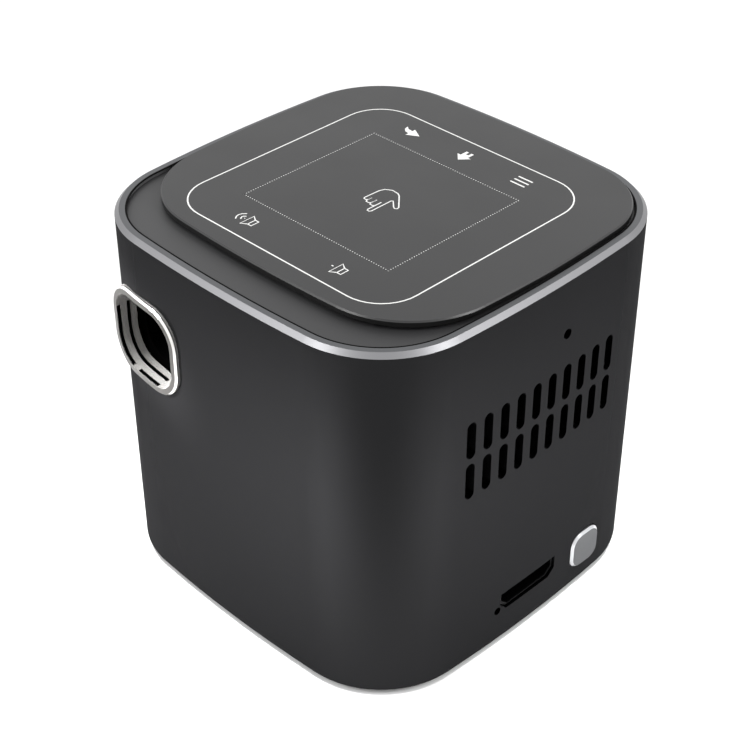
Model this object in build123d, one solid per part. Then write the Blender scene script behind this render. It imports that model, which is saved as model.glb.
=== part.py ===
from build123d import *
from math import acos, atan2, cos, degrees, pi, radians, sin, sqrt, tan
import os

# Pocket home projector in a square metal sleeve, in millimetres. +Z is up, the lens looks along -Y, and the
# side with the vents and the power button is +X. The origin lies below the middle, on what it stands on.

# Case: a square sleeve with bulged sides and round corners
body_side = 62.0
body_height = 57.7
side_bulge = 244.3
corner_radius = 14.8
wall = 1.5
foot_stand = 0.5
bottom_round = 1.2

# Trim ring, deck and touch panel on top
rim_chamfer = 0.65
tongue_thick = 0.75
tongue_depth = 2.0
spigot_thick = 1.0
spigot_depth = 4.0
deck_thick = 2.0
deck_edge = 0.9
deck_line = 0.12
panel_margin = 2.05
panel_setback = 7.13
panel_front_corner = 14.2
panel_thick = 0.83
panel_round = 0.2
gasket_thick = 0.6
gasket_inset = 0.7
gasket_width = 1.6
flex_width = 5.0
flex_thick = 0.2
flex_x = 16.0
flex_setback = 5.5
plug_tall = 1.0
plug_wide = 6.4
plug_deep = 2.4

# Openings in the sleeve's right side, measured from the middle and from the sleeve's lower or upper end
vent_columns = 10
vent_pitch = 3.137
vent_width = 1.66
vent_length = 5.9
vent_row_pitch = 6.8
mic_y = 4.05
mic_drop = 8.5
mic_hole = 1.6
mic_radius = 2.0
mic_thick = 1.0
button_y = 12.3
button_height = 6.57
button_wide = 6.1
button_tall = 6.3
button_corner = 2.1
button_chamfer = 0.35
button_proud = 0.45
button_gap = 0.12
button_travel = 0.4
button_lip = 1.0
button_lip_thick = 0.7
hdmi_y = -0.78
hdmi_height = 7.49
hdmi_wide = 11.9
hdmi_tall = 3.3
hdmi_cut_wide = 1.3
hdmi_cut_tall = 1.1
reset_gap = 0.52
reset_height = 6.32
reset_hole = 1.3

# Lens bezel in the front, with its grooves
lens_from_side = 14.8
lens_drop = 15.6
bezel_wide = 15.8
bezel_tall = 14.2
bezel_corner = 5.25
bezel_bulge = 71.0
bezel_apex = 23.0
bezel_proud = 0.5
bezel_lip = 0.79
bezel_chamfer = 0.27
bezel_depth = 3.4
bezel_gap = 0.1
bezel_land = 0.05
bezel_step = 0.15
bezel_step_wide = 0.3
groove_wide = 0.6
groove_deep = 0.6
groove_first = 0.12
groove_pitch = 1.65
groove_bridge = 1.5
groove_stop = 3.8

# Projection lens, its mount and the focus drive
barrel_radius = 4.0
barrel_length = 15.0
barrel_wall = 0.8
lens_play = 0.05
lens_travel = 0.9
glass_seat = 1.0
mount_wall = 0.85
mount_shoulder = 0.8
mount_flange = 1.5
mount_side = 16.0
shroud_wall = 0.6
shroud_room = 0.1
shroud_inset = 0.3
shroud_flange = 2.4
shroud_depth = 6.9
shroud_back = 2.0
glass_radius = 3.1
front_glass = 2.4
rear_glass = 2.0
glass_bulge = 9.0
mouth_steps = 3
mouth_step = 0.2
gear_module = 0.4
wheel_teeth = 21
ring_teeth = 31
gear_backlash = 0.1
wheel_wide = 3.7
ring_wide = 2.7
wheel_gap = 0.4
axle_radius = 0.9
ear_thick = 1.2
ear_wall = 1.2
wheel_show = 0.3
wheel_slot_corner = 0.6

# Light engine behind the lens
engine_back_room = 13.4
engine_length = 21.6
engine_width = 29.8
engine_side_room = 10.5
engine_wall = 1.5
engine_cover_thick = 1.2
cover_rib = 1.0
engine_top_room = 9.0
engine_floor_room = 9.0
optic_height = 11.0
prism_side = 9.0
prism_gap = 0.1
prism_room = 0.6
plate_thick = 1.0
plate_length = 11.0
fold_pitch = 9.0
condenser_thick = 2.6
condenser_bulge = 9.0
source_board_thick = 1.2
source_side = 3.4
source_thick = 0.9
dmd_wide = 13.0
dmd_tall = 9.0
dmd_thick = 1.6
dmd_frame = 2.0
dmd_board_wide = 14.0
dmd_board_tall = 18.0
dmd_board_thick = 1.2

# Cooling
fan_top_room = 3.1
fan_thick = 8.0
fan_rim = 1.4
fan_wall_room = 1.5
fan_hub = 6.5
fan_blades = 7
fan_blade_pitch = 38.0
fan_tip_gap = 0.5
fan_strut = 1.2
shaft_radius = 0.8
shaft_play = 0.05
bearing_wall = 1.0
bearing_short = 3.0
cup_wall = 1.0
coil_gap = 1.2
blade_thick = 0.8
blade_root = 0.5
sink_fan_gap = 1.2
sink_base = 2.0
sink_fins = 9
fin_thick = 0.8

# Boards, switches and sockets
board_thick = 1.2
board_gap = 0.8
switch_wide = 6.0
switch_tall = 3.5
switch_deep = 3.9
plunger_wide = 1.8
plunger_tall = 1.2
plunger_length = 1.3
reset_travel = 0.25
reset_radius = 0.5
reset_body_length = 3.0
reset_bore_length = 1.2
reset_proud = 1.0
reset_wall = 0.45
hdmi_deep = 7.6
socket_sheet = 0.3
socket_gap = 0.2
usb_room = 1.11
usb_wide = 13.1
usb_tall = 5.8
audio_gap = 1.95
audio_side = 6.0
audio_tall = 5.0
audio_deep = 13.0
audio_bore = 3.6
inlet_gap = 2.5
inlet_side = 7.0
inlet_tall = 6.0
inlet_bore = 4.0
inlet_pin = 1.35
socket_floor = 1.0
rear_deep = 9.2
usb_tongue_thick = 2.0
tongue_root = 1.5
tongue_back = 1.0
hdmi_tongue_thick = 0.7
hdmi_tongue_rise = 0.2

# Battery and loudspeaker
battery_height = 8.66
battery_round = 2.0
pad_thick = 0.5
pad_inset = 3.0
speaker_x = -4.0
speaker_radius = 12.0
speaker_cone_radius = 9.4
speaker_depth = 7.2
magnet_radius = 6.5
magnet_thick = 2.2
speaker_columns = 6
speaker_flange = 2.2
speaker_gap = 0.2
basket_wall = 0.8
pole_radius = 1.9
pole_length = 1.4
seat_thick = 1.4
seat_share = 1.6
cone_thick = 0.4
cone_rest = 0.8
cone_deep = 2.3
cone_dome = 0.7
cone_surround = 1.7

# Frames, base, foot, tripod insert and screws
post_radius = 2.5
post_room = 0.2
tray_thick = 1.5
tray_gap = 0.8
base_thick = 2.0
base_gap = 0.06
boss_radius = 2.0
leg_side = 5.0
guide_thick = 1.2
rest_wide = 8.0
rest_deep = 2.5
arm_thick = 2.0
engine_screw_length = 7.0
board_screw_length = 4.4
deck_screw_grip = 2.4
foot_inset = 8.0
foot_width = 5.0
foot_groove = 0.7
insert_radius = 4.5
insert_length = 5.6
insert_flange = 6.0
insert_flange_thick = 0.8
tripod_radius = 2.57
boss_wall = 1.5
screw_radius = 1.0
screw_head = 1.9
screw_head_thick = 1.2
screw_room = 0.15
recess_share = 1.3
thread_gap = 0.02
base_screw_length = 26.0
small_screw_radius = 0.8
small_screw_head = 1.4
small_screw_thick = 0.8
fit = 0.1
slack = 0.3

# Heights and planes that follow from the sizes above
half = body_side / 2
reach = side_bulge - half
shell_low = foot_stand
shell_top = shell_low + body_height
deck_top = shell_top
deck_low = deck_top - deck_thick
panel_low = deck_top + gasket_thick
lens_x = lens_from_side - half
lens_z = shell_top - lens_drop
mic_z = shell_top - mic_drop
base_top = shell_low + base_thick
board_top = shell_low + hdmi_height - (hdmi_tall - 2 * socket_gap) / 2
board_low = board_top - board_thick
button_z = shell_low + button_height
reset_y = hdmi_y - hdmi_wide / 2 - reset_gap
reset_z = shell_low + reset_height
tray_low = board_top + hdmi_tall + tray_gap
tray_top = tray_low + tray_thick
battery_low = tray_top + pad_thick
shelf_low = battery_low + battery_height + slack
shelf_top = shelf_low + tray_thick
fan_side = deck_low - fan_top_room - shelf_top
fan_radius = fan_side / 2 - fan_rim
fan_z = shelf_top + fan_side / 2
bezel_front = -half - bezel_proud
bezel_back = bezel_front + bezel_depth
bezel_opening = bezel_lip + bezel_chamfer
flange_end = bezel_back + shroud_flange
shroud_end = bezel_back + shroud_depth + shroud_back


def corner_centre(side, corner, bulge):
    """How far along X and Y the centre of a corner arc lies, so that it meets both sides smoothly."""
    centre_reach = bulge - side
    return (sqrt(2 * (bulge - corner) ** 2 - centre_reach**2) - centre_reach) / 2


def squircle(inset=0.0, side=half, corner=corner_radius, bulge=side_bulge):
    """Bulged square with round corners, as a face in XY; inset moves its whole edge inwards."""
    centre = corner_centre(side, corner, bulge)
    turn = degrees(atan2(centre, centre + bulge - side))
    edges = []
    for quarter in range(4):
        for hub, radius, first, last in (
            (Vector(side - bulge, 0), bulge - inset, -turn, turn),
            (Vector(centre, centre), corner - inset, turn, 90 - turn),
        ):
            arc = [hub + Vector(radius, 0).rotate(Axis.Z, a) for a in (first, (first + last) / 2, last)]
            edges.append(Rot(0, 0, 90 * quarter) * ThreePointArc(*arc))
    return make_face(edges)


def wall_at(offset, inset=0.0):
    """Distance from the middle to the sleeve's side, at an offset along that side."""
    return sqrt((side_bulge - inset) ** 2 - offset**2) - reach


post_centre = corner_centre(half, corner_radius, side_bulge)
post_xy = post_centre + (corner_radius - wall - post_room - post_radius) / sqrt(2)
post_corners = [(i * post_xy, j * post_xy) for i in (-1, 1) for j in (-1, 1)]
deck_screw_xy = post_xy - post_radius - screw_head + fit
deck_corners = [(i * deck_screw_xy, j * deck_screw_xy) for i in (-1, 1) for j in (-1, 1)]
inner_clear = post_xy - post_radius - slack

usb_x = usb_room + usb_wide / 2 + post_radius - post_xy
audio_x = usb_x + (usb_wide + audio_side) / 2 + audio_gap
inlet_x = audio_x + (audio_side + inlet_side) / 2 + inlet_gap

fan_right = half - wall - fan_wall_room
fan_left = fan_right - fan_thick
sink_right = fan_left - sink_fan_gap
engine_left = lens_x - engine_side_room
source_left = engine_left + engine_width
sink_left = source_left + source_board_thick
engine_back = half - engine_back_room
engine_front = engine_back - engine_length
prism_y = engine_back - engine_wall - prism_room - prism_side / 2
engine_low = lens_z - engine_floor_room
engine_top = lens_z + engine_top_room
optic_low = lens_z - optic_height / 2
fold_x = (lens_x + prism_side / 2 + source_left - engine_wall - condenser_thick) / 2

wheel_x = lens_x - gear_module * (wheel_teeth + ring_teeth) / 2
wheel_tip = gear_module * (wheel_teeth / 2 + 1)
tube_radius = barrel_radius + lens_play + mount_wall
ring_bore = tube_radius + lens_play
shoulder_radius = tube_radius + mount_shoulder
collar_radius = tube_radius + fit + shroud_wall
ring_front = shroud_end + slack
wheel_front = ring_front - (wheel_wide - ring_wide) / 2
mount_front = shroud_end - shroud_back
barrel_front = mount_front - lens_travel - fit

button_face = wall_at(button_y) + button_proud
button_back = wall_at(button_y + button_wide / 2 + button_lip, wall) - fit * 2
switch_face = button_back - button_lip_thick - button_travel * 2
switch_z = board_top + switch_tall / 2
reset_tip = wall_at(reset_y, wall) - fit * 5
reset_body = reset_tip - reset_proud
reset_back = reset_body - reset_body_length


def block(x0, x1, y0, y1, z0, z1):
    """Box between two corners."""
    return Pos((x0 + x1) / 2, (y0 + y1) / 2, (z0 + z1) / 2) * Box(x1 - x0, y1 - y0, z1 - z0)


def plate(face, z0, z1):
    """Face in XY made solid between two heights."""
    return Pos(0, 0, z0) * extrude(face, z1 - z0)


def rod(axis, start, end, radius, u, v):
    """Round bar along X, Y or Z between two places; u and v are its other two coordinates, in XYZ order."""
    place = {"x": (start, u, v), "y": (u, start, v), "z": (u, v, start)}[axis]
    turn = {"x": Rot(0, 90, 0), "y": Rot(-90, 0, 0), "z": Rot(0, 0, 0)}[axis]
    return Pos(*place) * turn * Cylinder(radius, end - start, align=(Align.CENTER, Align.CENTER, Align.MIN))


def through_x(sketch, start, end):
    """Sketch of Y and Z made solid from one X to another."""
    return extrude(Plane.YZ.offset(start) * sketch, end - start)


def through_y(sketch, start, end):
    """Sketch of X and Z made solid from one Y to another."""
    return extrude(Plane.XZ.offset(-end) * sketch, end - start)


def screw(radius, length, head_radius, head_thick):
    """Screw with its head's underside at the origin, its shank down -Z and a cross recess in the head."""
    body = rod("z", -length, 0, radius, 0, 0) + rod("z", 0, head_thick, head_radius, 0, 0)
    slot = Box(head_radius * recess_share, head_radius * recess_share / 4, head_thick)
    return body - Pos(0, 0, head_thick) * (slot + Rot(0, 0, 90) * slot)


def vent_grid(columns, pitch):
    """Two rows of upright round-ended slots about the sketch's middle."""
    slots = Sketch()
    for row in range(2):
        for column in range(columns):
            across = (column - (columns - 1) / 2) * pitch
            up = fan_z + (row - 0.5) * vent_row_pitch
            slots += Pos(across, up) * SlotOverall(vent_length, vent_width, rotation=90)
    return slots


def hdmi_outline(shrink):
    """Mini HDMI outline in Y and Z: a low rectangle with its two lower corners cut off."""
    right = hdmi_wide / 2 - shrink
    top = hdmi_tall / 2 - shrink
    corners = [
        (-right, top),
        (right, top),
        (right, hdmi_cut_tall - top),
        (right - hdmi_cut_wide, -top),
        (hdmi_cut_wide - right, -top),
        (-right, hdmi_cut_tall - top),
    ]
    return Pos(hdmi_y, shell_low + hdmi_height) * make_face(Polyline(corners, close=True))


def bezel_outline(shrink):
    """Rounded square of the bezel, at the lens axis, drawn in X and Z."""
    round_corner = max(bezel_corner - shrink, 0.5)
    shape = RectangleRounded(bezel_wide - 2 * shrink, bezel_tall - 2 * shrink, round_corner)
    return Pos(lens_x, lens_z) * shape


def body_shell():
    sleeve = plate(squircle(), shell_low, shell_top)
    edge = sleeve.faces().sort_by(Axis.Z)[0].outer_wire().edges()
    sleeve = fillet(edge, bottom_round)
    sleeve -= plate(squircle(wall), shell_low - 1, shell_top + 1)
    sleeve -= plate(squircle(tongue_thick), shell_top - tongue_depth, shell_top + 1)
    inner = half - wall - tongue_depth
    outer = half + 1
    sleeve -= through_x(vent_grid(vent_columns, vent_pitch), inner, outer)
    sleeve -= through_x(vent_grid(vent_columns, vent_pitch), -outer, -inner)
    sleeve -= rod("x", inner, outer, mic_hole / 2, mic_y, mic_z)
    sleeve -= rod("x", inner, outer, reset_hole / 2, reset_y, reset_z)
    sleeve -= through_x(hdmi_outline(0), inner, outer)
    button = RectangleRounded(button_wide + 2 * button_gap, button_tall + 2 * button_gap, button_corner)
    sleeve -= through_x(Pos(button_y, button_z) * button, inner, outer)
    sleeve -= through_y(bezel_outline(-bezel_gap), -outer, flange_end)
    slot_tall = 2 * (wheel_tip - wheel_show)
    slot = RectangleRounded(wheel_wide + 2 * wheel_gap, slot_tall, wheel_slot_corner)
    sleeve -= through_x(Pos(wheel_front + wheel_wide / 2, lens_z) * slot, -outer, -inner)
    speaker_slots = Pos(speaker_x, 0) * vent_grid(speaker_columns, vent_pitch)
    sleeve -= through_y(speaker_slots, inner, outer)
    sleeve -= through_y(usb_outline(-socket_gap), inner, outer)
    sleeve -= rod("y", inner, outer, audio_bore / 2 + 2 * socket_gap, audio_x, board_top + audio_tall / 2)
    sleeve -= rod("y", inner, outer, inlet_bore / 2 + 2 * socket_gap, inlet_x, board_top + inlet_tall / 2)
    return sleeve


def top_ring():
    rim = Pos(0, 0, shell_top) * extrude(squircle(), rim_chamfer, taper=45)
    rim -= plate(squircle(wall), shell_top - 1, shell_top + rim_chamfer + 1)
    tongue = squircle(tongue_thick + base_gap) - squircle(wall)
    rim += plate(tongue, shell_top - tongue_depth, shell_top)
    spigot = squircle(wall) - squircle(wall + spigot_thick)
    under = squircle(wall + base_gap) - squircle(wall + spigot_thick)
    ledge = deck_top - deck_edge
    rim += plate(spigot, shell_top - tongue_depth, ledge)
    rim += plate(under, shell_top - spigot_depth, shell_top - tongue_depth)
    return rim


def top_deck():
    deck = plate(squircle(wall + deck_line), deck_top - deck_edge, deck_top)
    deck += plate(squircle(wall + spigot_thick + deck_line), deck_low, deck_top)
    y = half - flex_setback
    slot = flex_width / 2 + slack
    end = y + flex_thick + slack
    deck -= block(flex_x - slot, flex_x + slot, y - slack, end, deck_low - 1, deck_top + 1)
    for x, y in deck_corners:
        deck -= rod("z", deck_low - 1, deck_top + 1, screw_radius + screw_room, x, y)
        deck -= rod("z", deck_top - screw_head_thick - fit, deck_top + 1, screw_head + screw_room, x, y)
    return deck


def panel_outline(inset):
    """Touch panel: follows the sleeve at the sides and the back, and stands further in at the front."""
    front = squircle(inset, half - panel_margin, panel_front_corner, side_bulge - panel_margin)
    front = Pos(0, panel_setback - panel_margin) * front
    return front & squircle(panel_margin + inset)


def touch_panel():
    glass = plate(panel_outline(0), panel_low, panel_low + panel_thick)
    edge = glass.faces().sort_by(Axis.Z)[-1].outer_wire().edges()
    return chamfer(edge, panel_round)


def panel_gasket():
    ring = panel_outline(gasket_inset) - panel_outline(gasket_inset + gasket_width)
    return plate(ring, deck_top, panel_low)


def touch_sensor():
    return plate(panel_outline(gasket_inset + gasket_width + fit), deck_top, panel_low)


def touch_flex():
    y = half - flex_setback
    wide = flex_width / 2
    return block(flex_x - wide, flex_x + wide, y, y + flex_thick, board_top + plug_tall, deck_top)


def bezel_layer(outline, start, end):
    """Outline in X and Z between two depths behind the bezel's bulged front."""
    layer = Pos(bezel_apex - half, bezel_front + bezel_bulge) * Circle(bezel_bulge - start)
    layer -= Pos(bezel_apex - half, bezel_front + bezel_bulge) * Circle(bezel_bulge - end)
    low = lens_z - bezel_tall
    return plate(layer, low, lens_z + bezel_tall) & through_y(outline, bezel_front - 2, shroud_end)


def bezel_groove(start, name, tied):
    """One groove in the bezel's inner wall, open towards the mouth, along the two walls named."""
    x_in = bezel_wide / 2 - bezel_opening
    z_in = bezel_tall / 2 - bezel_opening
    front = bezel_front - 1
    kept = block(-bezel_wide, 0, front, flange_end, -bezel_tall, z_in - groove_stop)
    kept += block(-bezel_wide, x_in - groove_stop, front, flange_end, -bezel_tall, 0)
    if tied:
        tie = bezel_corner - bezel_opening - x_in
        kept -= block(tie - groove_bridge / 2, tie + groove_bridge / 2, front, flange_end, -bezel_tall, 0)
    side = Pos(lens_x, 0, lens_z) * Rot(0, 0 if name == "left_low" else 180, 0) * kept
    return bezel_layer(bezel_outline(bezel_opening - groove_deep), start, start + groove_wide) & side


def lens_bezel():
    frame = bezel_layer(bezel_outline(0), 0, bezel_depth)
    front_edge = frame.faces().sort_by(Axis.Y)[0].outer_wire().edges()
    frame = chamfer(front_edge, bezel_chamfer)
    step = bezel_outline(-1) - bezel_outline(bezel_step_wide)
    step_from = bezel_chamfer + bezel_land
    frame -= bezel_layer(step, step_from, step_from + bezel_step)
    frame -= through_y(bezel_outline(bezel_opening), bezel_front - 1, flange_end)
    for name in ("left_low", "right_high"):
        for number in range(2):
            frame -= bezel_groove(groove_first + number * groove_pitch, name, number == 0)
    return frame


def lens_shroud():
    """Black hood from the bezel's back to the lens tube: a flange, a round hood and a collar round the tube."""
    hood = through_y(bezel_outline(shroud_inset), bezel_back - 1, flange_end)
    hood -= bezel_layer(bezel_outline(-1), -1, bezel_depth)
    bore = barrel_radius + shroud_room
    hood += rod("y", flange_end - fit, mount_front, bore + shroud_wall, lens_x, lens_z)
    hood += rod("y", mount_front - shroud_wall, shroud_end, collar_radius, lens_x, lens_z)
    hood -= rod("y", bezel_front, mount_front, bore, lens_x, lens_z)
    hood -= rod("y", mount_front, shroud_end + 1, tube_radius + fit, lens_x, lens_z)
    # The hood leaves the front left post free
    return hood - rod("z", shelf_low, deck_low, post_radius + fit, -post_xy, -post_xy)


def lens_mount():
    mount = rod("y", mount_front, engine_front, tube_radius, lens_x, lens_z)
    mount += rod("y", ring_front + ring_wide + slack, engine_front, shoulder_radius, lens_x, lens_z)
    side = Pos(lens_x, lens_z) * RectangleRounded(mount_side, mount_side, 1.5)
    mount += through_y(side, engine_front - mount_flange, engine_front)
    mount -= rod("y", mount_front - 1, engine_front + 1, barrel_radius + lens_play, lens_x, lens_z)
    hole = small_screw_radius + screw_room
    for x, z in lens_screw_places():
        mount -= rod("y", engine_front - mount_flange - 1, engine_front, hole, x, z)
    return mount


def lens_screw_places():
    pitch = mount_side / 2 - small_screw_head - slack
    return [(lens_x + i * pitch, lens_z + j * pitch) for i in (-1, 1) for j in (-1, 1)]


def lens_barrel():
    end = barrel_front + barrel_length
    barrel = rod("y", barrel_front, end, barrel_radius, lens_x, lens_z)
    barrel -= rod("y", barrel_front - 1, end + 1, glass_radius - barrel_wall, lens_x, lens_z)
    front_seat = barrel_front + glass_seat + front_glass
    barrel -= rod("y", barrel_front - 1, front_seat, glass_radius, lens_x, lens_z)
    barrel -= rod("y", end - glass_seat - rear_glass, end + 1, glass_radius, lens_x, lens_z)
    for ring in range(mouth_steps):
        depth = (ring + 1) * glass_seat / (mouth_steps + 1)
        radius = glass_radius + (mouth_steps - ring) * mouth_step
        barrel -= rod("y", barrel_front - 1, barrel_front + depth, radius, lens_x, lens_z)
    return barrel


def lens_glass(start, thick, outward):
    """Round glass with one bulged face; outward is -1 where that face looks to the front."""
    flat, tip = (start + thick, start) if outward < 0 else (start, start + thick)
    past = tip + outward * thick
    disc = rod("y", min(flat, past), max(flat, past), glass_radius, lens_x, lens_z)
    return disc & (Pos(lens_x, tip - outward * glass_bulge, lens_z) * Sphere(glass_bulge))


def front_element():
    return lens_glass(barrel_front + glass_seat, front_glass, -1)


def rear_element():
    return lens_glass(barrel_front + barrel_length - glass_seat - rear_glass, rear_glass, 1)


def gear_face(teeth, first):
    """Involute gear drawn about the origin, with its first tooth at an angle in degrees."""
    pitch = gear_module * teeth / 2
    base = pitch * cos(radians(20))
    tip = pitch + gear_module
    root = pitch - 1.25 * gear_module
    start = pi / (2 * teeth) + tan(radians(20)) - radians(20) - gear_backlash / (2 * pitch)
    flank = []
    for step in range(3):
        radius = base + (tip - base) * step / 2
        pressure = acos(base / radius)
        flank.append((radius, start - (tan(pressure) - pressure)))
    flank.insert(0, (root, start))
    points = []
    for tooth in range(teeth):
        middle = radians(first) + 2 * pi * tooth / teeth
        for radius, angle in flank:
            points.append((radius * cos(middle - angle), radius * sin(middle - angle)))
        for radius, angle in reversed(flank):
            points.append((radius * cos(middle + angle), radius * sin(middle + angle)))
    return make_face(Polyline(points, close=True))


def focus_ring():
    gear = Pos(lens_x, lens_z) * gear_face(ring_teeth, 180 + 180 / ring_teeth)
    ring = through_y(gear, ring_front, ring_front + ring_wide)
    return ring - rod("y", ring_front - 1, ring_front + ring_wide + 1, ring_bore, lens_x, lens_z)


def focus_wheel():
    gear = Pos(wheel_x, lens_z) * gear_face(wheel_teeth, 0)
    wheel = through_y(gear, wheel_front, wheel_front + wheel_wide)
    bore = axle_radius + lens_play
    return wheel - rod("y", wheel_front - 1, wheel_front + wheel_wide + 1, bore, wheel_x, lens_z)


def wheel_ears():
    """Places of the two ears that carry the thumbwheel's axle, along Y."""
    front = wheel_front - slack - ear_thick
    back = wheel_front + wheel_wide + slack
    return [(front, front + ear_thick), (back, back + ear_thick)]


def focus_axle():
    ears = wheel_ears()
    return rod("y", ears[0][0], ears[1][1], axle_radius, wheel_x, lens_z)


def source_places():
    """Where the two light sources sit along Y: one straight at the prism, one by way of the fold mirror."""
    return [prism_y, prism_y - fold_pitch]


def engine_housing():
    rim = engine_top - engine_cover_thick
    left = engine_left + engine_wall
    right = source_left - engine_wall
    front = engine_front + engine_wall
    back = engine_back - engine_wall
    housing = block(engine_left, source_left, engine_front, engine_back, engine_low, rim)
    housing -= block(left, right, front, back, optic_low, engine_top)
    housing -= rod("y", engine_front - 1, front + 1, barrel_radius + slack, lens_x, lens_z)
    window = Pos(lens_x, lens_z) * Rectangle(dmd_wide - 2 * dmd_frame, dmd_tall - 2 * dmd_frame)
    housing -= through_y(window, back - 1, engine_back + 1)
    for y in source_places():
        opening = Pos(y, lens_z) * Rectangle(source_side + 2 * slack, source_side + 2 * slack)
        housing -= through_x(opening, right - 1, source_left + 1)
    for x, y in engine_screw_places():
        housing -= rod("z", engine_low - 1, optic_low + 1, small_screw_radius + screw_room, x, y)
        head = small_screw_head + screw_room
        housing -= rod("z", optic_low - small_screw_thick, optic_low + 1, head, x, y)
    for x, z in lens_screw_places():
        housing -= rod("y", engine_front - 1, front + 1, small_screw_radius + thread_gap, x, z)
    return housing


def engine_screw_places():
    edge = engine_wall + small_screw_head + slack
    xs = (engine_left + edge, source_left - edge)
    ys = (engine_front + edge, engine_back - edge)
    return [(x, y) for x in xs for y in ys]


def engine_cover():
    low = engine_top - engine_cover_thick
    cover = block(engine_left, source_left, engine_front, engine_back, low, engine_top)
    rib = engine_wall + fit
    cover += block(
        engine_left + rib, source_left - rib, engine_front + rib, engine_back - rib, low - cover_rib, low
    )
    return cover


def prism():
    """Two wedges of glass with a thin air gap between their slanted faces."""
    size = prism_side / 2
    wedges = Part()
    for turn in (0, 180):
        corner = size - prism_gap / sqrt(2)
        outline = make_face(Polyline([(-size, -corner), (corner, size), (-size, size)], close=True))
        wedge = plate(Rot(0, 0, turn) * outline, optic_low, optic_low + optic_height)
        wedges += Pos(lens_x, prism_y, 0) * wedge
    return wedges


def light_plates():
    """The fold mirror and the dichroic plate, both at 45 degrees."""
    plates = Part()
    for y in source_places():
        slab = Box(plate_length, plate_thick, optic_height)
        plates += Pos(fold_x, y, lens_z) * Rot(0, 0, 45) * slab
    return plates


def condenser_lenses():
    lenses = Part()
    radius = min(optic_height, fold_pitch) / 2 - fit
    right = source_left - engine_wall - fit
    for y in source_places():
        disc = rod("x", right - condenser_thick, right, radius, y, lens_z)
        ball = Pos(right - condenser_thick + condenser_bulge, y, lens_z) * Sphere(condenser_bulge)
        high = lens_z - radius * 0.8
        foot = block(right - plate_thick, right, y - radius / 2, y + radius / 2, optic_low, high)
        lenses += (disc & ball) + foot
    return lenses


def source_board():
    top = engine_top - engine_cover_thick
    return block(source_left, sink_left, engine_front, engine_back, engine_low + slack, top)


def light_sources():
    sources = Part()
    side = source_side / 2
    left = source_left - source_thick
    for y in source_places():
        sources += block(left, source_left, y - side, y + side, lens_z - side, lens_z + side)
    return sources


def dmd_chip():
    chip = Pos(lens_x, lens_z) * RectangleRounded(dmd_wide, dmd_tall, 0.5)
    return through_y(chip, engine_back, engine_back + dmd_thick)


def dmd_board():
    board = Pos(lens_x, lens_z) * RectangleRounded(dmd_board_wide, dmd_board_tall, 1.0)
    low = engine_back + dmd_thick
    return through_y(board, low, low + dmd_board_thick)


def heat_sink():
    sink = block(sink_left, sink_left + sink_base, engine_front, engine_back, engine_low, engine_top)
    pitch = (engine_length - fin_thick) / (sink_fins - 1)
    for fin in range(sink_fins):
        y = engine_front + fin * pitch
        sink += block(sink_left, sink_right, y, y + fin_thick, engine_low, engine_top)
    return sink


def fan_frame():
    outline = Pos(0, fan_z) * RectangleRounded(fan_side, fan_side, 2.0)
    frame = through_x(outline, fan_left, fan_right)
    frame -= rod("x", fan_left - 1, fan_right + 1, fan_radius, 0, fan_z)
    for turn in (45, 135):
        strut = Box(fan_strut, 2 * fan_radius + 1, 2 * fan_strut)
        frame += Pos(fan_left + fan_strut / 2, 0, fan_z) * Rot(turn, 0, 0) * strut
    frame += rod("x", fan_left, fan_left + fan_strut, fan_hub, 0, fan_z)
    frame += rod("x", fan_left, fan_right - bearing_short, shaft_radius + bearing_wall, 0, fan_z)
    return frame - rod("x", fan_left - 1, fan_right, shaft_radius + shaft_play, 0, fan_z)


def fan_stator():
    """Coil on the fan frame's bearing tube, inside the rotor's cup."""
    outer = fan_hub - cup_wall - coil_gap
    coil = rod("x", fan_left + fan_strut, fan_right - bearing_short, outer, 0, fan_z)
    return coil - rod("x", fan_left, fan_right, shaft_radius + bearing_wall + thread_gap, 0, fan_z)


def fan_rotor():
    low = fan_left + fan_strut + fan_tip_gap
    high = fan_right - fan_tip_gap
    cup = rod("x", low, high, fan_hub, 0, fan_z)
    cup -= rod("x", low - 1, high - cup_wall, fan_hub - cup_wall, 0, fan_z)
    tip = fan_radius - fan_tip_gap
    root = fan_hub - blade_root
    one = Rot(0, fan_blade_pitch, 0) * Box(fan_side, tip - root + 1, blade_thick)
    one = Pos(0, (root + tip) / 2, 0) * one
    blades = Part()
    for number in range(fan_blades):
        blades += Rot(360 * number / fan_blades, 0, 0) * one
    blades = Pos((low + high) / 2, 0, fan_z) * blades
    sweep = rod("x", low, high, tip, 0, fan_z) - rod("x", low, high, root, 0, fan_z)
    rotor = cup + (blades & sweep)
    return rotor + rod("x", fan_left, high, shaft_radius, 0, fan_z)


def socket_face(offset):
    """Y of a rear socket's outer face: just inside the sleeve's outer surface."""
    return wall_at(offset) - 2 * slack


def usb_outline(shrink):
    shape = RectangleRounded(usb_wide - 2 * shrink, usb_tall - 2 * shrink, 0.6)
    return Pos(usb_x, board_top + usb_tall / 2) * shape


def usb_shell():
    face = socket_face(abs(usb_x) + usb_wide / 2)
    shell = through_y(usb_outline(0), face - rear_deep, face)
    return shell - through_y(usb_outline(socket_sheet), face - rear_deep + socket_sheet, face + 1)


def usb_tongue():
    face = socket_face(abs(usb_x) + usb_wide / 2)
    top = board_top + usb_tall - socket_sheet - fit
    side = usb_wide / 2 - socket_sheet - fit
    back = face - rear_deep + socket_sheet
    tongue = block(usb_x - side, usb_x + side, back, face - tongue_back, top - usb_tongue_thick, top)
    low = board_top + socket_sheet + fit
    tongue += block(usb_x - side, usb_x + side, back, back + tongue_root, low, top)
    return tongue & through_y(usb_outline(socket_sheet + fit / 2), back, face)


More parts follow.
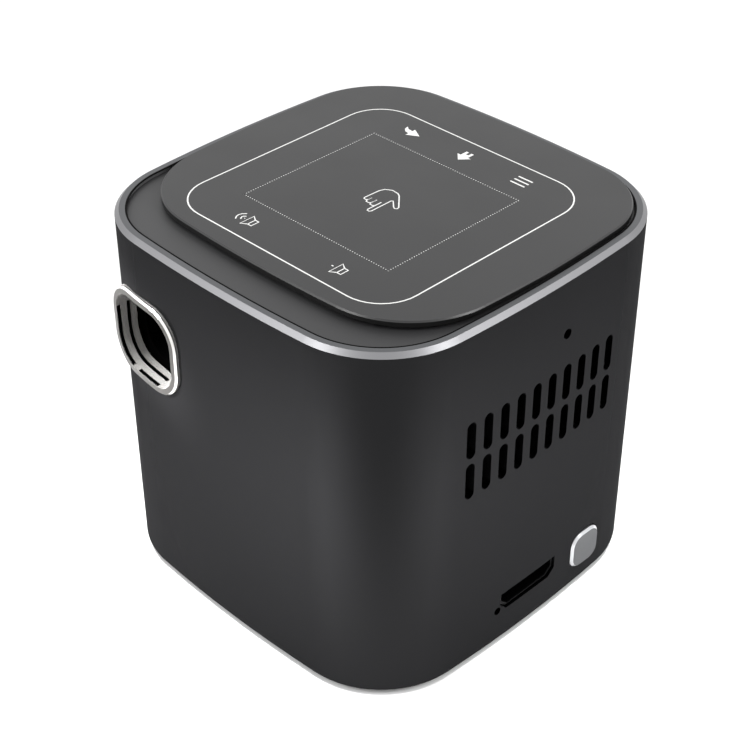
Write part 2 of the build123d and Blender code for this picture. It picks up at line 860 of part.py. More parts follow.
def audio_jack():
    z = board_top + audio_tall / 2
    face = socket_face(audio_x)
    inner = wall_at(audio_x, wall) - slack
    side = audio_side / 2
    back = face - audio_deep
    body = block(audio_x - side, audio_x + side, back, inner, board_top, board_top + audio_tall)
    body += rod("y", inner, face, audio_bore / 2 + socket_gap, audio_x, z)
    return body - rod("y", face - audio_deep + socket_floor, face + 1, audio_bore / 2, audio_x, z)


def power_inlet():
    z = board_top + inlet_tall / 2
    face = socket_face(inlet_x)
    inner = wall_at(inlet_x, wall) - slack
    side = inlet_side / 2
    body = block(inlet_x - side, inlet_x + side, face - rear_deep, inner, board_top, board_top + inlet_tall)
    body += rod("y", inner, face, inlet_bore / 2 + socket_gap, inlet_x, z)
    body -= rod("y", face - rear_deep + socket_floor, face + 1, inlet_bore / 2, inlet_x, z)
    return body + rod("y", face - rear_deep + socket_floor, face - tongue_back, inlet_pin / 2, inlet_x, z)


def hdmi_shell():
    face = wall_at(abs(hdmi_y) + hdmi_wide / 2) - slack
    shell = through_x(hdmi_outline(socket_gap), face - hdmi_deep, face)
    back = face - hdmi_deep + socket_sheet
    return shell - through_x(hdmi_outline(socket_gap + socket_sheet), back, face + 1)


def hdmi_tongue():
    face = wall_at(abs(hdmi_y) + hdmi_wide / 2) - slack
    back = face - hdmi_deep + socket_sheet
    inside = hdmi_outline(socket_gap + socket_sheet + fit / 2)
    tongue = through_x(inside, back, back + tongue_root)
    z = shell_low + hdmi_height + hdmi_tongue_rise
    rise = hdmi_tongue_thick / 2
    side = hdmi_wide / 2 - hdmi_cut_wide - 2 * socket_gap
    return tongue + block(back, face - tongue_back, hdmi_y - side, hdmi_y + side, z - rise, z + rise)


def main_board():
    board = plate(squircle(wall + board_gap), board_low, board_top)
    for x, y in post_corners:
        board -= rod("z", board_low - 1, board_top + 1, post_radius + slack, x, y)
    hole = insert_radius + boss_wall + slack
    board -= rod("z", board_low - 1, board_top + 1, hole, 0, 0)
    lip = button_wide / 2 + button_lip + slack
    keep = button_back - button_lip_thick - button_travel - slack
    board -= block(keep, half, button_y - lip, button_y + lip, board_low - 1, board_top + 1)
    notch = reset_radius + reset_wall + fit
    board -= block(reset_back - fit, half, reset_y - notch, reset_y + notch, board_low - 1, board_top + 1)
    for x, y in board_screw_places():
        board -= rod("z", board_low - 1, board_top + 1, small_screw_radius + screw_room, x, y)
    return board


def board_screw_places():
    x = inner_clear - boss_radius
    y = inner_clear - boss_radius - 1.0
    return [(i * x, j * y) for i in (-1, 1) for j in (-1, 1)]


def board_chips():
    """Processor, memory, power parts and the flat cable's connector on the main board."""
    parts = [
        (-16.0, -8.0, 12.0, 12.0, 1.4),
        (-16.0, 4.5, 8.0, 10.0, 1.0),
        (-3.0, -12.0, 10.0, 7.0, 1.0),
        (9.5, -14.0, 5.0, 5.0, 2.6),
        (9.5, -7.5, 4.0, 4.0, 2.0),
        (12.0, 8.0, 6.0, 6.0, 1.2),
        (-6.0, 12.0, 3.0, 5.0, 1.6),
    ]
    scale = inner_clear / 20.38
    chips = Part()
    for x, y, wide, deep, tall in parts:
        chips += Pos(x * scale, y * scale, board_top + tall / 2) * Box(wide, deep, tall)
    plug = Box(plug_wide, plug_deep, plug_tall)
    return chips + Pos(flex_x, half - flex_setback + flex_thick / 2, board_top + plug_tall / 2) * plug


def power_switch():
    y0 = button_y - switch_wide / 2
    y1 = button_y + switch_wide / 2
    body = block(switch_face - switch_deep, switch_face, y0, y1, board_top, board_top + switch_tall)
    hole = Pos(button_y, switch_z) * Rectangle(plunger_wide + 2 * fit, plunger_tall + 2 * fit)
    return body - through_x(hole, switch_face - plunger_length, switch_face + 1)


def power_plunger():
    rod_face = Pos(button_y, switch_z) * Rectangle(plunger_wide, plunger_tall)
    end = switch_face + button_travel
    return through_x(rod_face, end - plunger_length + fit, end)


def power_button():
    cap = Pos(button_y, button_z) * RectangleRounded(button_wide, button_tall, button_corner)
    button = through_x(cap, button_back, button_face)
    edge = button.faces().sort_by(Axis.X)[-1].outer_wire().edges()
    button = chamfer(edge, button_chamfer)
    lip = RectangleRounded(button_wide + 2 * button_lip, button_tall + 2 * button_lip, button_corner)
    lip = Pos(button_y, button_z) * lip
    button += through_x(lip, button_back - button_lip_thick, button_back)
    stem = Pos(button_y, switch_z) * Rectangle(plunger_wide, plunger_tall)
    return button + through_x(stem, switch_face + button_travel, button_back)


def reset_switch():
    outer = reset_radius + reset_wall
    body = rod("x", reset_back, reset_body, outer, reset_y, reset_z)
    body += block(reset_back, reset_body, reset_y - reset_body_length, reset_y, board_top, reset_z + outer)
    floor = reset_body - reset_bore_length
    return body - rod("x", floor, reset_body + 1, reset_radius + fit, reset_y, reset_z)


def reset_plunger():
    start = reset_body - reset_bore_length + reset_travel + fit
    return rod("x", start, reset_tip, reset_radius, reset_y, reset_z)


def microphone():
    face = wall_at(mic_y + mic_radius, wall)
    return rod("x", face - mic_thick, face, mic_radius, mic_y, mic_z)


def battery_sides():
    return half - wall - post_radius, inner_clear


def battery_pack():
    x, y = battery_sides()
    cell = block(-x, x, -y, y, battery_low, battery_low + battery_height)
    return fillet(cell.edges().filter_by(Axis.X), battery_round)


def battery_pad():
    x, y = battery_sides()
    x -= pad_inset
    y -= pad_inset
    return block(-x, x, -y, y, tray_top, battery_low)


def speaker_ring(y0, y1, outer, inner):
    z = shelf_top + speaker_radius
    ring = rod("y", y0, y1, outer, speaker_x, z)
    return ring - rod("y", y0 - 1, y1 + 1, inner, speaker_x, z) if inner else ring


def speaker_face():
    """Y of the loudspeaker's front, just behind the sleeve's back wall."""
    return wall_at(abs(speaker_x) + speaker_radius, wall) - slack


def speaker_basket():
    face = speaker_face()
    back = face - speaker_depth + magnet_thick
    inner = speaker_cone_radius + speaker_gap
    outer = inner + basket_wall
    basket = speaker_ring(face - speaker_flange, face, speaker_radius, inner)
    basket += speaker_ring(back, face - speaker_flange, outer, inner)
    return basket + speaker_ring(back, back + basket_wall, outer, pole_radius + fit)


def speaker_cone():
    face = speaker_face()
    z = shelf_top + speaker_radius
    top = -cone_rest
    low = top - cone_thick
    surround = speaker_cone_radius - cone_surround
    cap = pole_radius + cone_thick
    profile = [
        (cap, low - cone_deep),
        (surround, low),
        (speaker_cone_radius, low),
        (speaker_cone_radius, top),
        (surround, top),
        (cap, top - cone_deep),
        (0, top - cone_deep + cone_dome),
        (0, low - cone_deep + cone_dome),
    ]
    half_section = make_face(Polyline(profile, close=True))
    cone = revolve(half_section, Axis.Y)
    return Pos(speaker_x, face, z) * cone


def speaker_magnet():
    back = speaker_face() - speaker_depth + magnet_thick
    magnet = speaker_ring(back - magnet_thick, back, magnet_radius, 0)
    return magnet + speaker_ring(back, back + pole_length, pole_radius, 0)


def lower_frame():
    """Four posts on the base plate, and the tray between them, over the board and under the battery."""
    frame = Part()
    y = inner_clear + slack
    x = half - wall - tray_gap - slack
    frame += block(-x, x, -y, y, tray_low, tray_top)
    for i, j in ((-1, -1), (-1, 1), (1, -1), (1, 1)):
        frame += rod("z", base_top, shelf_low, post_radius, i * post_xy, j * post_xy)
        rib_x = sorted((i * post_xy, i * (post_xy - 4)))
        rib_y = sorted((j * post_xy, j * (y - 2)))
        frame += block(rib_x[0], rib_x[1], rib_y[0], rib_y[1], tray_low, tray_top)
    for px, py in board_screw_places():
        frame += rod("z", board_top, tray_low, boss_radius, px, py)
    audio_room = audio_side / 2 + slack
    low_y = socket_face(audio_x) - audio_deep - slack
    high = board_top + audio_tall + fit
    frame -= block(audio_x - audio_room, audio_x + audio_room, low_y, half, board_top, high)
    usb_room = usb_wide / 2 + slack
    low_y = socket_face(abs(usb_x) + usb_wide / 2) - rear_deep - slack
    frame -= block(usb_x - usb_room, usb_x + usb_room, low_y, half, board_top, tray_top + 1)
    keep = button_back - button_lip_thick - button_travel - slack
    frame -= block(keep, half, button_y - button_wide, button_y + button_wide, tray_low - 1, tray_top + 1)
    for px, py in board_screw_places():
        frame -= rod("z", board_top - 1, tray_low, small_screw_radius + thread_gap, px, py)
    for px, py in post_corners:
        frame -= rod("z", base_top - 1, shelf_low + 1, screw_radius + screw_room, px, py)
    return frame & plate(squircle(wall + slack), base_top, shelf_low)


def upper_frame():
    """Shelf over the battery, posts up to the deck, and seats for fan, speaker, lens and light engine."""
    y = half - wall - post_radius
    frame = block(-y, y, -y, y, shelf_low, shelf_top)
    arm_low = engine_top + slack
    for i, j in ((-1, -1), (-1, 1), (1, -1), (1, 1)):
        frame += rod("z", shelf_low, deck_low, post_radius, i * post_xy, j * post_xy)
        frame += rod("z", arm_low, deck_low, screw_head, i * deck_screw_xy, j * deck_screw_xy)
        arm = Box(post_radius + 2 * screw_head, arm_thick, deck_low - arm_low)
        middle = (post_xy + deck_screw_xy) / 2
        frame += Pos(i * middle, j * middle, (arm_low + deck_low) / 2) * Rot(0, 0, 45 * i * j) * arm
    near = fan_side / 2 + fit
    for low, high in ((-near - guide_thick, -near), (near, near + guide_thick)):
        frame += block(fan_left, fan_right, low, high, shelf_top, fan_z)
    side = leg_side / 2
    for ex, ey in engine_screw_places():
        x = min(max(ex, engine_left + side), source_left - side)
        y_leg = min(max(ey, engine_front + side), engine_back - side)
        frame += block(x - side, x + side, y_leg - side, y_leg + side, shelf_top, engine_low)
    wide = rest_wide / 2
    front = shroud_end - rest_deep
    frame += block(lens_x - wide, lens_x + wide, front, shroud_end, shelf_top, lens_z - collar_radius / 2)
    frame -= rod("y", front - 1, shroud_end + 1, collar_radius + fit, lens_x, lens_z)
    ear_top = lens_z + axle_radius + ear_wall
    for start, end in wheel_ears():
        frame += block(-half, wheel_x + wheel_tip / 2, start, end, shelf_top, ear_top)
    back = speaker_face() - speaker_flange
    left = speaker_x - speaker_radius
    right = speaker_x + speaker_radius
    seat = block(left, right, back - seat_thick, back, shelf_top, shelf_top + seat_share * speaker_radius)
    hole = speaker_cone_radius + speaker_gap + basket_wall + fit
    frame += seat - speaker_ring(back - 2 * seat_thick, back + 1, hole, 0)
    flex_y = half - flex_setback
    frame -= block(flex_x - flex_width, flex_x + flex_width, flex_y - 1, half, shelf_low - 1, shelf_top + 1)
    low = optic_low - small_screw_thick - engine_screw_length - fit
    for ex, ey in engine_screw_places():
        frame -= rod("z", low, engine_low + 1, small_screw_radius + thread_gap, ex, ey)
    ears = wheel_ears()
    frame -= rod("y", ears[0][0] - 1, ears[1][1] + 1, axle_radius + thread_gap, wheel_x, lens_z)
    for px, py in deck_corners:
        frame -= rod("z", arm_low - 1, deck_low + 1, screw_radius + thread_gap, px, py)
    for px, py in post_corners:
        top = shell_low + fit + screw_head_thick + base_screw_length + fit
        frame -= rod("z", shelf_low - 1, top, screw_radius + thread_gap, px, py)
    inside = plate(squircle(wall + slack), shelf_low, deck_low)
    band = squircle() - squircle(wall + spigot_thick + fit)
    inside -= plate(band, shell_top - spigot_depth - fit, deck_low)
    return frame & inside


def base_plate():
    base = plate(squircle(wall + base_gap), shell_low, base_top)
    top = shell_low + insert_length + boss_wall
    base += rod("z", base_top, top, insert_radius + boss_wall, 0, 0)
    base -= rod("z", shell_low - 1, shell_low + insert_length, insert_radius, 0, 0)
    base -= rod("z", shell_low - 1, shell_low + insert_flange_thick, insert_flange, 0, 0)
    groove = squircle(foot_inset) - squircle(foot_inset + foot_width)
    base -= plate(groove, shell_low - 1, shell_low + foot_groove)
    for x, y in post_corners:
        base -= rod("z", shell_low - 1, base_top + 1, screw_radius + screw_room, x, y)
        base -= rod("z", shell_low - 1, shell_low + screw_head_thick + fit, screw_head + screw_room, x, y)
    return base


def rubber_foot():
    ring = squircle(foot_inset) - squircle(foot_inset + foot_width)
    foot = plate(ring, 0, shell_low + foot_groove)
    edges = foot.faces().sort_by(Axis.Z)[0].edges()
    return fillet(edges, foot_stand * 0.6)


def tripod_insert():
    insert = rod("z", shell_low, shell_low + insert_length, insert_radius, 0, 0)
    insert += rod("z", shell_low, shell_low + insert_flange_thick, insert_flange, 0, 0)
    return insert - rod("z", shell_low - 1, shell_low + insert_length + 1, tripod_radius, 0, 0)


def base_screws():
    group = Part()
    for x, y in post_corners:
        one = Rot(180, 0, 0) * screw(screw_radius, base_screw_length, screw_head, screw_head_thick)
        group += Pos(x, y, shell_low + fit + screw_head_thick) * one
    return group


def deck_screws():
    group = Part()
    length = deck_thick - screw_head_thick - fit + deck_screw_grip
    for x, y in deck_corners:
        one = screw(screw_radius, length, screw_head, screw_head_thick)
        group += Pos(x, y, deck_top - screw_head_thick - fit) * one
    return group


def board_screws():
    group = Part()
    for x, y in board_screw_places():
        one = screw(small_screw_radius, board_screw_length, small_screw_head, small_screw_thick)
        group += Pos(x, y, board_low) * Rot(180, 0, 0) * one
    return group


def engine_screws():
    group = Part()
    for x, y in engine_screw_places():
        one = screw(small_screw_radius, engine_screw_length, small_screw_head, small_screw_thick)
        group += Pos(x, y, optic_low - small_screw_thick) * one
    return group


def lens_screws():
    group = Part()
    for x, z in lens_screw_places():
        length = mount_flange + engine_wall - fit
        one = screw(small_screw_radius, length, small_screw_head, small_screw_thick)
        group += Pos(x, engine_front - mount_flange, z) * Rot(90, 0, 0) * one
    return group


NODES = [
    body_shell, top_ring, top_deck, panel_gasket, touch_panel, touch_sensor, touch_flex,
    lens_bezel, lens_shroud, lens_mount, lens_barrel, front_element, rear_element,
    focus_ring, focus_wheel, focus_axle,
    engine_housing, engine_cover, prism, light_plates, condenser_lenses, source_board, light_sources,
    dmd_chip, dmd_board, heat_sink, fan_frame, fan_stator, fan_rotor,
    main_board, board_chips, hdmi_shell, hdmi_tongue, usb_shell, usb_tongue, audio_jack, power_inlet,
    power_switch, power_plunger, power_button, reset_switch, reset_plunger, microphone,
    battery_pack, battery_pad, speaker_basket, speaker_cone, speaker_magnet,
    lower_frame, upper_frame, base_plate, rubber_foot, tripod_insert,
    base_screws, deck_screws, board_screws, engine_screws, lens_screws,
]

os.makedirs("parts", exist_ok=True)
for make in NODES:
    export_step(make(), f"parts/{make.__name__}.step")
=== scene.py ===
from math import cos, pi, radians, sin

import bmesh
import bpy
from mathutils import Matrix, Vector


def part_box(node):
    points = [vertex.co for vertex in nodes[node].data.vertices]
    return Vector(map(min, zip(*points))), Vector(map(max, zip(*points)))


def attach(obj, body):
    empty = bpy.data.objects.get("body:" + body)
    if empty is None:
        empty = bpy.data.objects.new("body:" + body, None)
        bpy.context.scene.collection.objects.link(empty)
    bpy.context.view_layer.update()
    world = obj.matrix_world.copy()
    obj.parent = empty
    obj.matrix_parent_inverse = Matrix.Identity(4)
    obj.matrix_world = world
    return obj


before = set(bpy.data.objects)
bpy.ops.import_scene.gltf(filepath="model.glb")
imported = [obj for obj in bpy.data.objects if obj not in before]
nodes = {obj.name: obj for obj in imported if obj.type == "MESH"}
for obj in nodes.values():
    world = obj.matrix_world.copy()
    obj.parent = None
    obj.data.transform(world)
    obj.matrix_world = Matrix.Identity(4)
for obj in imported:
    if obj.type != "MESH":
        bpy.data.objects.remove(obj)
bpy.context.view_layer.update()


# Sleeve: a square aluminium extrusion with bulged sides, open at both ends. Its vents, sockets and lens
# window are milled, and it is bead blasted and anodised dark grey.

MM = 0.001


def linear(hex_colour):
    """sRGB hex colour as the linear values that a shader takes."""
    parts = [int(hex_colour[i:i + 2], 16) / 255 for i in (1, 3, 5)]
    return tuple(p / 12.92 if p <= 0.04045 else ((p + 0.055) / 1.055) ** 2.4 for p in parts) + (1.0,)


def add_node(tree, kind, inputs=None, **settings):
    """Adds one shader node, sets its properties, and fills or links its sockets."""
    node = tree.nodes.new(kind)
    for name, value in settings.items():
        setattr(node, name, value)
    for socket, value in (inputs or {}).items():
        if isinstance(value, bpy.types.NodeSocket):
            tree.links.new(value, node.inputs[socket])
        else:
            node.inputs[socket].default_value = value
    return node


def start_finish(name, colour, roughness, metallic=0.0, **sockets):
    """A new material: its node tree, its surface shader and the object coordinates its patterns read."""
    material = bpy.data.materials.new(name)
    material.use_nodes = True
    tree = material.node_tree
    tree.nodes.clear()
    shader = add_node(tree, "ShaderNodeBsdfPrincipled", {
        "Base Color": linear(colour), "Roughness": roughness, "Metallic": metallic})
    for socket, value in sockets.items():
        shader.inputs[socket.replace("_", " ")].default_value = value
    add_node(tree, "ShaderNodeOutputMaterial", {"Surface": shader.outputs["BSDF"]})
    place = add_node(tree, "ShaderNodeTexCoord").outputs["Object"]
    return material, tree, shader, place


def give_grain(tree, shader, place, size, height, rough_spread=0.0, detail=2.0):
    """Fine bumps of one size and height in metres. The roughness may vary, in patches 40 times as wide."""
    grains = add_node(tree, "ShaderNodeTexNoise", {"Vector": place, "Scale": 1 / size, "Detail": detail})
    bump = add_node(tree, "ShaderNodeBump", {"Height": grains.outputs["Fac"], "Distance": height})
    tree.links.new(bump.outputs["Normal"], shader.inputs["Normal"])
    if rough_spread:
        middle = shader.inputs["Roughness"].default_value
        patches = add_node(tree, "ShaderNodeTexNoise", {"Vector": place, "Scale": 1 / (40 * size)})
        spread = add_node(tree, "ShaderNodeMapRange", {
            "Value": patches.outputs["Fac"], "From Min": 0.3, "From Max": 0.7,
            "To Min": middle - rough_spread, "To Max": middle + rough_spread})
        tree.links.new(spread.outputs["Result"], shader.inputs["Roughness"])


def dress(material, *names):
    """Gives CAD nodes their real finish."""
    for name in names:
        nodes[name].data.materials.clear()
        nodes[name].data.materials.append(material)


# Bead-blasted anodised aluminium: a dark metal whose fine matte grain spreads each reflection softly. The
# grit is 0.09 mm; it is drawn 0.2 mm wide, so that it shows.
drawn_grit = 0.2 * MM
sleeve_metal, tree, shader, place = start_finish(
    "bead_blasted_anodised_aluminium", "#272728", 0.18, 1.0,
    Specular_IOR_Level=0.0, Specular_Tint=linear("#bcbcbc"))
give_grain(tree, shader, place, drawn_grit, 0.003 * MM, 0.03)
# The grit shades itself at a glancing angle, so the gloss dies away towards the outline.
full_gloss, least_gloss = 0.36, 0.72
glance = add_node(tree, "ShaderNodeLayerWeight", {"Blend": 0.5}).outputs["Facing"]
sheen = add_node(tree, "ShaderNodeMapRange", {
    "Value": glance, "From Min": full_gloss, "From Max": least_gloss, "To Min": 1.0, "To Max": 0.05})
tree.links.new(sheen.outputs["Result"], shader.inputs["Metallic"])
dress(sleeve_metal, "body_shell")


# Top ring: an aluminium frame that closes the sleeve's upper edge. Its outer chamfer is cut with a
# diamond after anodising, so that it shines as a bright line round a satin grey rim.

# Diamond-cut anodised aluminium: a mid grey satin rim, a brighter chamfer that slopes at 45 degrees, and
# an upright inner wall with painted light: a flat non-metal grey, so that it shows as light as the deck.
rim_grey, chamfer_grey, painted_light_wall_grey = "#626365", "#828284", "#5e5e5f"
ring_metal, tree, shader, place = start_finish("diamond_cut_anodised_aluminium", "#8b8c8e", 0.35, 1.0)
give_grain(tree, shader, place, drawn_grit, 0.002 * MM)
upward = add_node(tree, "ShaderNodeSeparateXYZ", {
    "Vector": add_node(tree, "ShaderNodeTexCoord").outputs["Normal"]}).outputs["Z"]
chamfer = add_node(tree, "ShaderNodeMath", {0: upward, 1: 0.7, 2: 0.2}, operation="COMPARE").outputs["Value"]
upright = add_node(tree, "ShaderNodeMath", {0: upward, 1: 0.0, 2: 0.3}, operation="COMPARE").outputs["Value"]
shade = add_node(tree, "ShaderNodeMixRGB", {
    "Fac": chamfer, "Color1": linear(rim_grey), "Color2": linear(chamfer_grey)})
# Painted light: the upright inner wall takes a flat grey here, and below it loses its metal.
shade = add_node(tree, "ShaderNodeMixRGB", {
    "Fac": upright, "Color1": shade.outputs["Color"], "Color2": linear(painted_light_wall_grey)})
tree.links.new(shade.outputs["Color"], shader.inputs["Base Color"])
bare = add_node(tree, "ShaderNodeMapRange", {"Value": upright, "To Min": 1.0, "To Max": 0.0})
tree.links.new(bare.outputs["Result"], shader.inputs["Metallic"])
satin = add_node(tree, "ShaderNodeMapRange", {"Value": chamfer, "To Min": 0.38, "To Max": 0.42})
tree.links.new(satin.outputs["Result"], shader.inputs["Roughness"])
dress(ring_metal, "top_ring")


# Deck: the moulded ABS plate inside the ring that carries the touch panel. It is screwed down to the
# upper frame, and the panel hides the screws.


def tone_by_facing(tree, shader, axis, start, end, across, along):
    """Two colours: one where the surface faces across an axis, one where it faces along it."""
    normal = add_node(tree, "ShaderNodeSeparateXYZ", {
        "Vector": add_node(tree, "ShaderNodeTexCoord").outputs["Normal"]})
    size = add_node(tree, "ShaderNodeMath", {0: normal.outputs[axis]}, operation="ABSOLUTE")
    share = add_node(tree, "ShaderNodeMapRange", {
        "Value": size.outputs["Value"], "From Min": start, "From Max": end}).outputs["Result"]
    tone = add_node(tree, "ShaderNodeMixRGB", {
        "Fac": share, "Color1": linear(across), "Color2": linear(along)})
    tree.links.new(tone.outputs["Color"], shader.inputs["Base Color"])
    return share


# Spark-eroded ABS: a dull dark grey with a very fine pebble grain, and upright sides painted black as shade.
deck_plastic, tree, shader, place = start_finish("spark_eroded_abs", "#242425", 0.5)
give_grain(tree, shader, place, 0.25 * MM, 0.004 * MM)
tone_by_facing(tree, shader, "Z", 0.3, 0.6, across="#060606", along="#2a2a2b")
dress(deck_plastic, "top_deck")


# Shadow line: a thin black strip along the top of the ring's inner wall. It is painted shadow, put in to
# stand for the shade in the gap beside the deck.

shadow_line_thick = 0.26 * MM
shadow_line_tall = 0.14 * MM
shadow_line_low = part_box("top_ring")[1].z - shadow_line_tall

# A copy of the ring is welded, cut level with the strip's lower edge, stripped of all but the wall above
# the cut, and given the strip's thickness.
weld = 0.001 * MM
strip = bmesh.new()
strip.from_mesh(nodes["top_ring"].data)
bmesh.ops.remove_doubles(strip, verts=strip.verts, dist=weld)
bmesh.ops.bisect_plane(strip, geom=strip.verts[:] + strip.edges[:] + strip.faces[:], dist=weld / 10,
                       plane_co=(0, 0, shadow_line_low), plane_no=(0, 0, 1))
strip.normal_update()
other_faces = []
for face in strip.faces:
    middle = face.calc_center_median()
    inner_wall = face.normal.xy.dot(middle.xy) < 0 and abs(face.normal.z) < 0.1
    if not inner_wall or middle.z < shadow_line_low:
        other_faces.append(face)
bmesh.ops.delete(strip, geom=other_faces, context="FACES")
bmesh.ops.solidify(strip, geom=strip.faces[:], thickness=-shadow_line_thick)
bmesh.ops.recalc_face_normals(strip, faces=strip.faces)
mesh = bpy.data.meshes.new("shadow_line_strip")
strip.to_mesh(mesh)
strip.free()

# Painted shadow: a flat black line that gives back almost no light.
shadow_black, tree, shader, place = start_finish(
    "painted_shadow_black", "#040404", 0.9, Specular_IOR_Level=0.1)
give_grain(tree, shader, place, 0.2 * MM, 0.002 * MM)
mesh.materials.append(shadow_black)
shadow_line_strip = bpy.data.objects.new("shadow_line_strip", mesh)
bpy.context.scene.collection.objects.link(shadow_line_strip)
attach(shadow_line_strip, "root")


# Touch panel: a hard-coated plastic plate with rounded corners, stuck a little above the deck on a foam
# gasket, with the key signs screen printed on it in white.

# Hard-coated touch panel: a charcoal satin face with a soft even gloss, and sides painted near black as
# shade.
panel_plastic, tree, shader, place = start_finish("hard_coated_touch_panel", "#202122", 0.36)
give_grain(tree, shader, place, 0.3 * MM, 0.001 * MM, 0.03)
tone_by_facing(tree, shader, "Z", 0.3, 0.6, across="#0a0a0a", along="#1b1b1c")
dress(panel_plastic, "touch_panel")

# Closed-cell foam: black, with small pits that swallow the light.
foam, tree, shader, place = start_finish("closed_cell_foam", "#0c0c0c", 0.95)
give_grain(tree, shader, place, 0.25 * MM, 0.05 * MM)
dress(foam, "panel_gasket")

# White screen ink: flat and slightly chalky.
ink, tree, shader, place = start_finish("white_screen_ink", "#dcdcda", 0.55)
give_grain(tree, shader, place, 0.1 * MM, 0.001 * MM)

panel_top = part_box("touch_panel")[1].z
ink_thick = 0.012 * MM


def print_on_panel(name, draw):
    """Makes one printed sign as a mesh of ink that rides on the case."""
    mesh = bpy.data.meshes.new(name)
    shape = bmesh.new()
    draw(shape)
    bmesh.ops.recalc_face_normals(shape, faces=shape.faces)
    shape.to_mesh(mesh)
    shape.free()
    mesh.materials.append(ink)
    piece = bpy.data.objects.new(name, mesh)
    bpy.context.scene.collection.objects.link(piece)
    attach(piece, "root")


def ink_stroke(shape, points, width, closed=False):
    """A line of ink of one width along points in millimetres, laid flat on the panel."""
    path = bpy.data.curves.new("stroke", "CURVE")
    path.dimensions = "3D"
    path.bevel_depth = width / 2 * MM
    path.bevel_resolution = 1
    path.use_fill_caps = True
    line = path.splines.new("POLY")
    line.points.add(len(points) - 1)
    for point, (x, y) in zip(line.points, points):
        point.co = (x * MM, y * MM, 0, 1)
    line.use_cyclic_u = closed
    holder = bpy.data.objects.new("stroke", path)
    mesh = bpy.data.meshes.new_from_object(holder)
    flatten = Matrix.Diagonal((1, 1, ink_thick / path.bevel_depth, 1))
    mesh.transform(Matrix.Translation((0, 0, panel_top)) @ flatten)
    shape.from_mesh(mesh)
    bpy.data.objects.remove(holder)
    bpy.data.curves.remove(path)
    bpy.data.meshes.remove(mesh)


def ink_patch(shape, points):
    """A filled patch of ink with its corners at points in millimetres."""
    corners = [shape.verts.new((x * MM, y * MM, panel_top - ink_thick)) for x, y in points]
    face = shape.faces.new(corners)
    raised = bmesh.ops.extrude_face_region(shape, geom=[face])["geom"]
    upper = [part for part in raised if isinstance(part, bmesh.types.BMVert)]
    bmesh.ops.translate(shape, verts=upper, vec=(0, 0, 2 * ink_thick))


def frame_line(shape):
    """The thin white line near the panel's edge: a square with round corners, in millimetres."""
    half_side, corner, width, steps = 20.74, 6.2, 0.23, 10
    points = []
    for quarter in range(4):
        hub_x = (half_side - corner) * (1 if quarter in (0, 3) else -1)
        hub_y = (half_side - corner) * (1 if quarter in (0, 1) else -1)
        for step in range(steps + 1):
            turn = (quarter + step / steps) * pi / 2
            points.append((hub_x + corner * cos(turn), hub_y + corner * sin(turn)))
    ink_stroke(shape, points, width, closed=True)


def dotted_field(shape):
    """Fine ink dots round the touch pad's edge."""
    wide, deep, pitch, dot = 14.1, 12.8, 0.44, 0.075
    along = [(-wide + i * pitch) for i in range(int(2 * wide / pitch) + 1)]
    across = [(-deep + i * pitch) for i in range(int(2 * deep / pitch) + 1)]
    spots = [(x, side * deep) for x in along for side in (-1, 1)]
    spots += [(side * wide, y) for y in across for side in (-1, 1)]
    for x, y in spots:
        bmesh.ops.create_cone(shape, cap_ends=True, segments=8, radius1=dot * MM, radius2=dot * MM,
                              depth=2 * ink_thick, matrix=Matrix.Translation((x * MM, y * MM, panel_top)))


thin_line, loudspeaker_line, bar_line = 0.2, 0.22, 0.3


def loudspeaker(shape, x, y):
    """Loudspeaker sign, with its box towards +X and its mouth towards -X."""
    ink_stroke(shape, [
        (x + 1.6, y - 0.7), (x + 0.9, y - 0.7), (x, y - 1.3), (x, y + 1.3), (x + 0.9, y + 0.7),
        (x + 1.6, y + 0.7)], loudspeaker_line, closed=True)
    ink_stroke(shape, [(x + 0.9, y - 0.7), (x + 0.9, y + 0.7)], loudspeaker_line * 0.8)


def louder_sign(shape):
    """Loudspeaker with a short dash and two waves of sound."""
    loudspeaker(shape, -8.6, -17.1)
    near_wave = [(-9.36, -16.53), (-9.62, -16.8), (-9.69, -17.05), (-9.6, -17.3), (-9.4, -17.55)]
    far_wave = [(-9.82, -16.01), (-10.28, -16.5), (-10.44, -17.0), (-10.3, -17.55), (-9.95, -18.0)]
    dash = [(-9.05, -17.05), (-9.2, -17.05)]
    for points in (near_wave, far_wave, dash):
        ink_stroke(shape, points, thin_line)


def quieter_sign(shape):
    """Loudspeaker with a single short bar."""
    loudspeaker(shape, 8.75, -17.1)
    ink_stroke(shape, [(8.25, -17.05), (7.9, -17.05)], thin_line)


def back_sign(shape):
    """Arrow that curls back."""
    ink_patch(shape, [
        (-8.66, 16.76), (-10.5, 15.71), (-10.45, 16.3), (-11.3, 16.5), (-11.85, 17.0), (-12.05, 17.8),
        (-11.4, 17.3), (-10.5, 17.2), (-10.55, 17.82)])


def home_sign(shape):
    """House with a pitched roof and an open door."""
    ink_patch(shape, [
        (0.15, 15.55), (1.4, 16.9), (0.85, 16.9), (0.85, 18.2), (0.4, 18.2), (0.4, 17.5), (-0.1, 17.5),
        (-0.1, 18.2), (-0.55, 18.2), (-0.55, 16.9), (-1.15, 16.9)])


def menu_sign(shape):
    """Three bars."""
    for y in (16.2, 17.1, 18.0):
        ink_stroke(shape, [(9.6, y), (12.2, y)], bar_line)


